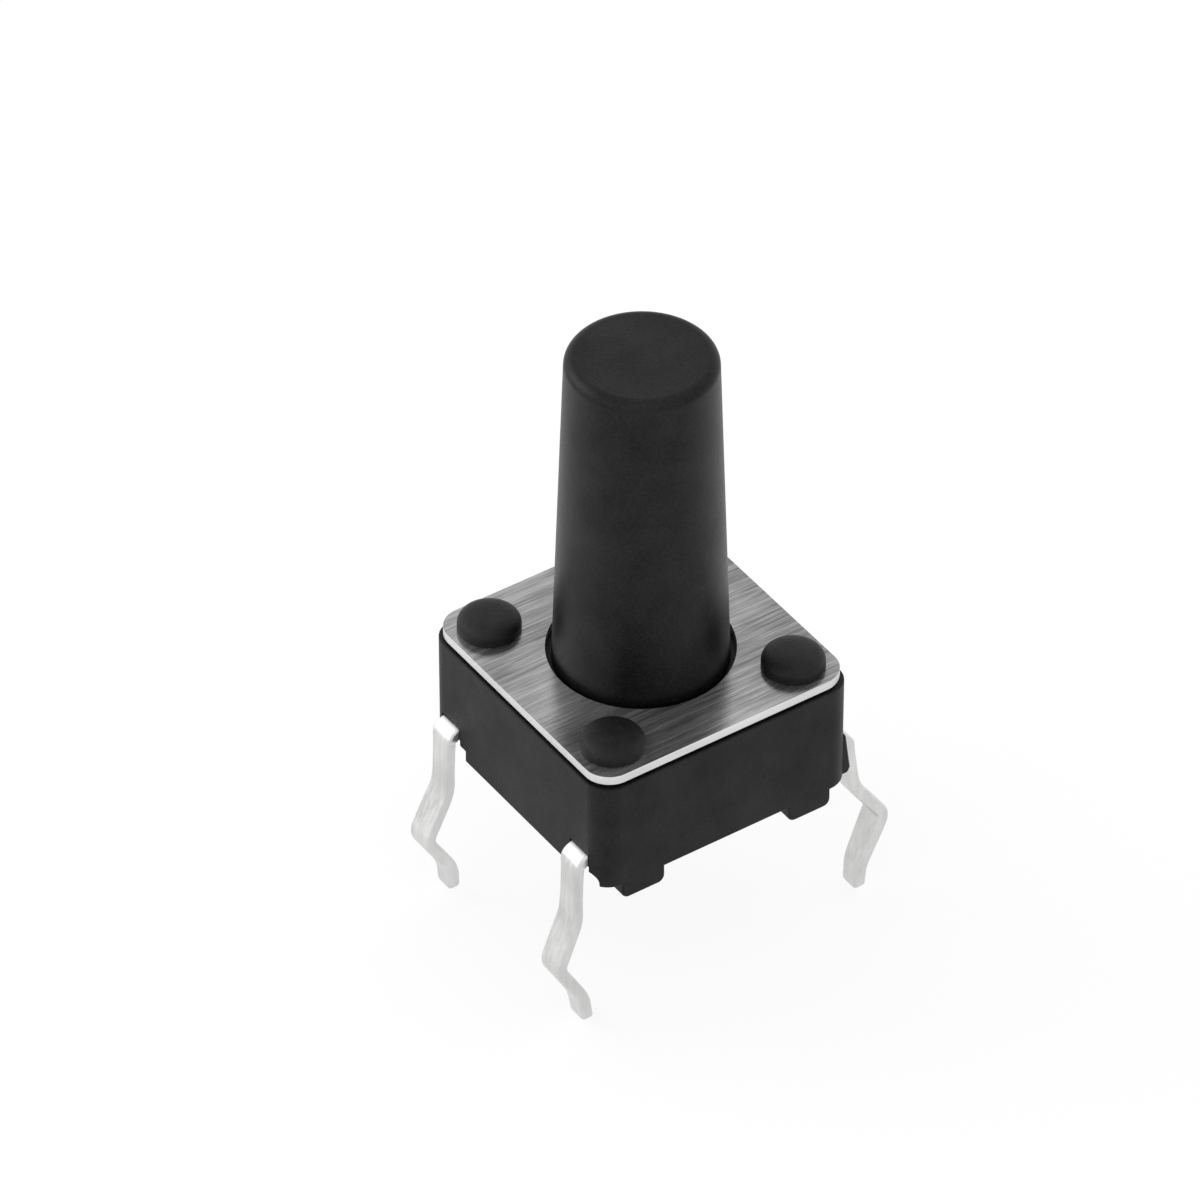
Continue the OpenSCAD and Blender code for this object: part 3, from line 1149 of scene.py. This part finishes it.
@dataclass
class Moulding:
    """The black body with its chamber, pads, notches, shoulders and rivets."""

    width: float = BODY_WIDTH
    corner: float = 0.5
    underside: float = 0.38
    top: float = BODY_TOP
    floor: float = STRIP_TOP
    chamber_r: float = 2.2
    pad_out: float = 2.48
    pad_length: float = 1.0
    pad_depth: float = 0.9
    pad_round: float = 0.16
    leg_y: float = LEG_Y
    notch: Notch = Notch()
    shoulder: Shoulder = Shoulder()
    rivet_xy: float = RIVET_XY
    rivet_post_r: float = 0.36
    rivet_head_r: float = 0.64
    rivet_rim: float = 0.1
    rivet_height: float = 0.38
    rivet_fullness: float = 2.7
    plate_top: float = PLATE_TOP
    strip_half: float = STRIP_HALF
    strip_low: float = STRIP_LOW
    pocket_x: float = 0.95
    pocket_r: float = 0.3
    pocket_over: float = 0.1
    gate_r: float = 0.55
    gate_top: float = 0.46
    lug_reach: float = 2.48
    lug_half: float = 0.51
    lug_low: float = 2.03
    rim_drop: float = 0.07
    rim_width: float = 0.25
    top_round: float = 0.03
    low_round: float = 0.06
    edge: float = 0.05

    def pad(self) -> bpy.types.Object:
        """Models one pad at +X, +Y.

        Returns:
            The pad, with its root inside the body.
        """
        r, far, near = self.pad_round, self.pad_out, self.pad_out - self.pad_length
        top = self.underside + ROOT
        outline = arc((near + r, r), r, 180.0, 270.0, ROUND_STEPS)
        outline += arc((far - r, r), r, -90.0, 0.0, ROUND_STEPS)
        outline += [(far, top), (near, top)]
        return slab("pad", outline, Axis.Y, self.width / 2 - self.pad_depth, self.pad_depth)

    def swelling(self) -> bpy.types.Object:
        """Models the shoulder beside the leg at +X, +Y.

        Returns:
            The shoulder, with its root inside the body.
        """
        size, face = self.shoulder, self.width / 2
        back = face - size.root
        outline = [(back, self.underside), (face + size.out / 2, self.underside)]
        outline += [(face + size.out, size.widest), (face, size.top), (back, size.top)]
        return slab("shoulder", outline, Axis.Y, size.inner, size.width)

    def leg_room(self, side: int) -> list[bpy.types.Object]:
        """Models what is cut away round one leg's exit at +Y.

        Args:
            side: 1 for the right leg and -1 for the left one.

        Returns:
            The notch and the recess above it.
        """
        size, face = self.notch, self.width / 2
        near = self.leg_y - size.inward
        far = self.leg_y + (size.outward_right if side > 0 else size.outward)
        low, high = self.strip_low - ROOT, self.floor + size.recess_gap
        room_half = self.strip_half + size.recess_gap
        outline = [(near, -PAST), (far, -PAST)]
        turning = (far - size.rounding, size.top - size.rounding)
        outline += arc(turning, size.rounding, 0.0, 90.0, ROUND_STEPS)
        outline.append((near, size.top))
        start = face - size.depth if side > 0 else -face - PAST
        room = slab("notch", outline, Axis.X, start, size.depth + PAST)
        xs = sorted((side * (face - size.recess_depth), side * (face + PAST)))
        ys = (self.leg_y - room_half, self.leg_y + room_half)
        return [room, block("recess", (xs[0], ys[0], low), (xs[1], ys[1], high))]

    def rivet(self) -> bpy.types.Object:
        """Models one post with its formed head, at the middle.

        Returns:
            The rivet, with its root inside the body.
        """
        dome = self.rivet_height - self.rivet_rim
        foot = self.top - ROOT
        profile = [(0.0, foot), (self.rivet_post_r, foot), (self.rivet_post_r, self.plate_top)]
        profile += [(self.rivet_head_r, self.plate_top)]
        swell = 2 / self.rivet_fullness
        for cos, sin in arc((0.0, 0.0), 1.0, 0.0, 90.0, steps=20):
            r = self.rivet_head_r * max(0.0, cos) ** swell
            profile.append((r, self.plate_top + self.rivet_rim + dome * max(0.0, sin) ** swell))
        return turned("rivet", profile, steps=96)

    def cutters(self) -> list[bpy.types.Object]:
        """Models all that is cut out of the body.

        Returns:
            The solids to cut away.
        """
        beyond, high = self.width / 2 + PAST, self.top + PAST
        out = [post("chamber", self.chamber_r, self.floor, high, sides=128)]
        slot_x, slot_y = self.lug_reach, self.lug_half
        out.append(block("lugs", (-slot_x, -slot_y, self.lug_low), (slot_x, slot_y, high)))
        out.append(post("gate", self.gate_r, -PAST, self.gate_top))
        for side_y in (-1, 1):
            y = side_y * self.leg_y
            near, far = y - self.strip_half, y + self.strip_half
            channel = (-beyond, near, self.strip_low), (beyond, far, self.floor)
            out.append(block("channel", *channel))
            for side_x in (-1, 1):
                at = (side_x * self.pocket_x, y)
                end = self.strip_low + self.pocket_over
                out.append(post("pocket", self.pocket_r, -PAST, end, at, sides=48))
                for room in self.leg_room(side_x):
                    out.append(copy_of(room, Matrix.Diagonal((1, side_y, 1, 1))))
                    bpy.data.objects.remove(room)
        return out

    def build(self) -> bpy.types.Object:
        """Models the moulding.

        Returns:
            The moulding in its place.
        """
        half = self.width / 2
        rim, seat_half = self.top - self.rim_drop, half - self.rim_width
        body = block("body_moulding", (-half, -half, self.underside), (half, half, rim))
        round_upright_edges(body, self.corner)
        round_level_edges(body, rim, self.top_round)
        round_level_edges(body, self.underside, self.low_round)
        seat = block("seat", (-seat_half, -seat_half, rim - ROOT), (seat_half, seat_half, self.top))
        round_upright_edges(seat, self.corner - self.rim_width / 2)
        join(body, seat, Join.FUSE)
        pad, rivet = soften(self.pad(), self.edge), self.rivet()
        swelling = soften(self.swelling(), self.edge)
        for sy in (-1, 1):
            join(body, copy_of(swelling, Matrix.Diagonal((1, sy, 1, 1))), Join.FUSE)
            for sx in (-1, 1):
                join(body, copy_of(pad, Matrix.Diagonal((sx, sy, 1, 1))), Join.FUSE)
                place = Matrix.Translation((sx * self.rivet_xy, sy * self.rivet_xy, 0))
                join(body, copy_of(rivet, place), Join.FUSE)
        for used in (pad, rivet, swelling):
            bpy.data.objects.remove(used)
        for tool in self.cutters():
            join(body, tool, Join.CUT)
        return body

    def dress(self, obj: bpy.types.Object) -> None:
        """Gives the moulding its plastic and its body.

        Args:
            obj: the built moulding.
        """
        for face in obj.data.polygons:
            face.material_index = int(face.center.z > self.plate_top)
        plastics = [BODY_PLASTIC.material(), RIVET_PLASTIC.material()]
        finish_piece(obj, Body.HOUSING, plastics, "base")


@dataclass
class Cover:
    """The flat metal plate that the rivets hold on the body."""

    width: float = 5.9
    corner: float = 0.55
    low: float = BODY_TOP
    high: float = PLATE_TOP
    hole_r: float = 1.88
    rivet_xy: float = RIVET_XY
    rivet_hole_r: float = 0.39
    edge: float = 0.025
    flat: float = 0.85

    def build(self) -> bpy.types.Object:
        """Models the plate.

        Returns:
            The plate in its place.
        """
        half, below, above = self.width / 2, self.low - PAST, self.high + PAST
        sheet = block("cover_sheet", (-half, -half, self.low), (half, half, self.high))
        round_upright_edges(sheet, self.corner)
        join(sheet, post("hole", self.hole_r, below, above, sides=160), Join.CUT)
        for sx in (-1, 1):
            for sy in (-1, 1):
                at = (sx * self.rivet_xy, sy * self.rivet_xy)
                hole = post("hole", self.rivet_hole_r, below, above, at, sides=64)
                join(sheet, hole, Join.CUT)
        soften(sheet, self.edge, segments=2, angle=40.0)
        return sheet

    def dress(self, obj: bpy.types.Object) -> None:
        """Gives the faces their brushing, and the side faces a lighter copy of the metal that is
        partly the burnished sheared edge and partly a painted highlight.

        Args:
            obj: the built plate.
        """
        # Side faces get the lighter edge metal, which holds a painted highlight
        for face in obj.data.polygons:
            face.material_index = int(abs(face.normal.z) < self.flat)
        metals = [COVER_METAL.material(), COVER_EDGE_SHEEN.material()]
        finish_piece(obj, Body.HOUSING, metals, "cover_plate")


@dataclass
class Button:
    """The tall button with its flange, guide lugs and nib."""

    top: float = 10.5
    top_r: float = 1.51
    round_r: float = 0.23
    foot_r: float = 1.755
    foot_z: float = PLATE_TOP
    flange: Point3 = (2.14, 2.38, 2.98)
    nib: Point2 = (0.6, 1.58)
    lug: Point2 = (2.42, 0.45)
    edge: float = 0.04

    def build(self) -> bpy.types.Object:
        """Models the button.

        Returns:
            The button in its place.
        """
        (nib_r, nib_z), (lug_x, lug_y) = self.nib, self.lug
        flange_r, low, high = self.flange
        profile = [(0.0, nib_z), (nib_r, nib_z), (nib_r, low), (flange_r, low)]
        profile += [(flange_r, high), (self.foot_r, high), (self.foot_r, self.foot_z)]
        turning = (self.top_r - self.round_r, self.top - self.round_r)
        profile += arc(turning, self.round_r, 0.0, 90.0, steps=14)
        profile.append((0.0, self.top))
        button = turned("button_post", profile, steps=160)
        join(button, block("lugs", (-lug_x, -lug_y, low), (lug_x, lug_y, high)), Join.FUSE)
        soften(button, self.edge, segments=3, angle=40.0)
        return button

    def dress(self, obj: bpy.types.Object) -> None:
        """Gives the button its plastic and its body.

        Args:
            obj: the built button.
        """
        finish_piece(obj, Body.BUTTON, [BUTTON_PLASTIC.material()], "plunger")


@dataclass
class Dome:
    """The sprung disc that flattens as the button goes down.

    Pressed is the share of its height that is left when the button is all the way down; it is not
    used.
    """

    radius: float = 2.0
    rim: float = DOME_SEAT
    height: float = 0.42
    thickness: float = 0.07
    pressed: float = 0.402
    joint: str = "press"

    def build(self) -> bpy.types.Object:
        """Models the disc.

        Returns:
            The disc in its place.
        """
        outer = (self.radius**2 + self.height**2) / (2 * self.height)
        inner = outer - self.thickness
        middle = self.rim + self.height - outer
        rim_out = math.degrees(math.asin(self.radius / outer))
        rim_in = math.degrees(math.acos((self.rim - middle) / inner))
        profile = arc((0.0, middle), outer, 90.0, 90.0 - rim_out, steps=14)
        profile += arc((0.0, middle), inner, 90.0 - rim_in, 90.0, steps=14)
        return turned("click_dome", profile, steps=96)

    def dress(self, obj: bpy.types.Object) -> None:
        """Gives the disc its steel, its body and a mesh of its own.

        Args:
            obj: the built disc.
        """
        finish_piece(obj, Body.HOUSING, [DOME_METAL.material()], "snap_dome")
        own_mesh(obj)


# Studio


@dataclass(frozen=True)
class Lamp:
    """Square lamp aimed at the switch, sized in millimetres and powered in watts."""

    name: str
    place: Point3
    size: float
    power: float
    aim: Point3 = (0.0, 0.0, 3.0)

    def build(self) -> None:
        """Hangs the lamp."""
        data = bpy.data.lights.new(self.name, "AREA")
        data.size = self.size * MM
        data.energy = self.power
        lamp = bpy.data.objects.new(self.name, data)
        bpy.context.scene.collection.objects.link(lamp)
        lamp.location = Vector(self.place) * MM
        lamp.rotation_mode = "QUATERNION"
        lamp.rotation_quaternion = (Vector(self.aim) * MM - lamp.location).to_track_quat("-Z", "Y")


@dataclass(frozen=True)
class Studio:
    """Camera, lamps, white world and floor.

    The camera was solved from the photograph with the body taken as 6 mm wide. Its angles are
    in degrees, its focal length is in pixels of the image, and all else is in millimetres.
    """

    azimuth: float = -34.3694
    elevation: float = 40.445
    distance: float = 180.0
    focal_pixels: float = 9296.3
    image_pixels: int = 1200
    sensor: float = 36.0
    aim_z: float = 6.354
    slide: Point2 = (0.8014, 1.5045)
    floor_z: float = -3.4
    floor_size: float = 400.0
    clip: Point2 = (10.0, 10000.0)
    lamps: tuple[Lamp, ...] = (
        Lamp("rear_panel", (-70.0, 85.0, 60.0), size=90.0, power=0.06),
        Lamp("left_panel", (-110.0, -10.0, 40.0), size=60.0, power=0.012),
        Lamp("top_panel", (-36.0, -66.0, 96.0), size=40.0, power=0.004),
    )

    def camera(self) -> None:
        """Sets the camera where the photograph's stood."""
        a, e = math.radians(self.azimuth), math.radians(self.elevation)
        back = Vector((math.sin(a) * math.cos(e), -math.cos(a) * math.cos(e), math.sin(e)))
        right = Vector((math.cos(a), math.sin(a), 0.0))
        up = back.cross(right)
        data = bpy.data.cameras.new("camera")
        data.sensor_width = self.sensor
        data.lens = self.focal_pixels / self.image_pixels * self.sensor
        data.clip_start, data.clip_end = (reach * MM for reach in self.clip)
        cam = bpy.data.objects.new("camera", data)
        bpy.context.scene.collection.objects.link(cam)
        aim = Vector((0, 0, self.aim_z)) - right * self.slide[0] - up * self.slide[1]
        place = aim + back * self.distance
        turn = Matrix((right, up, back)).transposed().to_4x4()
        cam.matrix_world = Matrix.Translation(place * MM) @ turn
        bpy.context.scene.camera = cam

    def world(self) -> None:
        """Makes the world plain white, as the backdrop and as the soft light."""
        world = bpy.data.worlds.new("white_world")
        bpy.context.scene.world = world
        world.use_nodes = True
        sky = world.node_tree.nodes["Background"]
        sky.inputs["Color"].default_value = (1, 1, 1, 1)
        sky.inputs["Strength"].default_value = 1.0

    def floor(self) -> None:
        """Lays the white floor under the leg tips."""
        bpy.ops.object.select_all(action="DESELECT")
        place = (0, 0, self.floor_z * MM)
        bpy.ops.mesh.primitive_plane_add(size=self.floor_size * MM, location=place)
        floor = place_applied("floor")
        floor.data.materials.append(FloorPaint().material())
        floor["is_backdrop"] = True

    def build(self) -> None:
        """Sets up everything round the switch."""
        bpy.context.scene.view_settings.view_transform = "Standard"
        self.camera()
        self.world()
        self.floor()
        for lamp in self.lamps:
            lamp.build()


def corners() -> list[list[float]]:
    """Lowest and highest corner of the shown object, as plain lists."""
    return [list(corner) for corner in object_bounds()]


def main() -> None:
    """Builds the switch piece by piece, then the studio round it."""
    logging.basicConfig(level=logging.INFO, format="%(name)s %(message)s")
    for leftover in list(bpy.data.objects):
        bpy.data.objects.remove(leftover)
    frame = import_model()
    LOG.info("frame: %s", ", ".join(sorted(frame["nodes"])))
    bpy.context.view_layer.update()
    for part in (Moulding(), Cover(), Button(), Dome(), RimTerminal(), CentreTerminal()):
        part.dress(part.build())
    Studio().build()


if __name__ == "__main__":
    main()
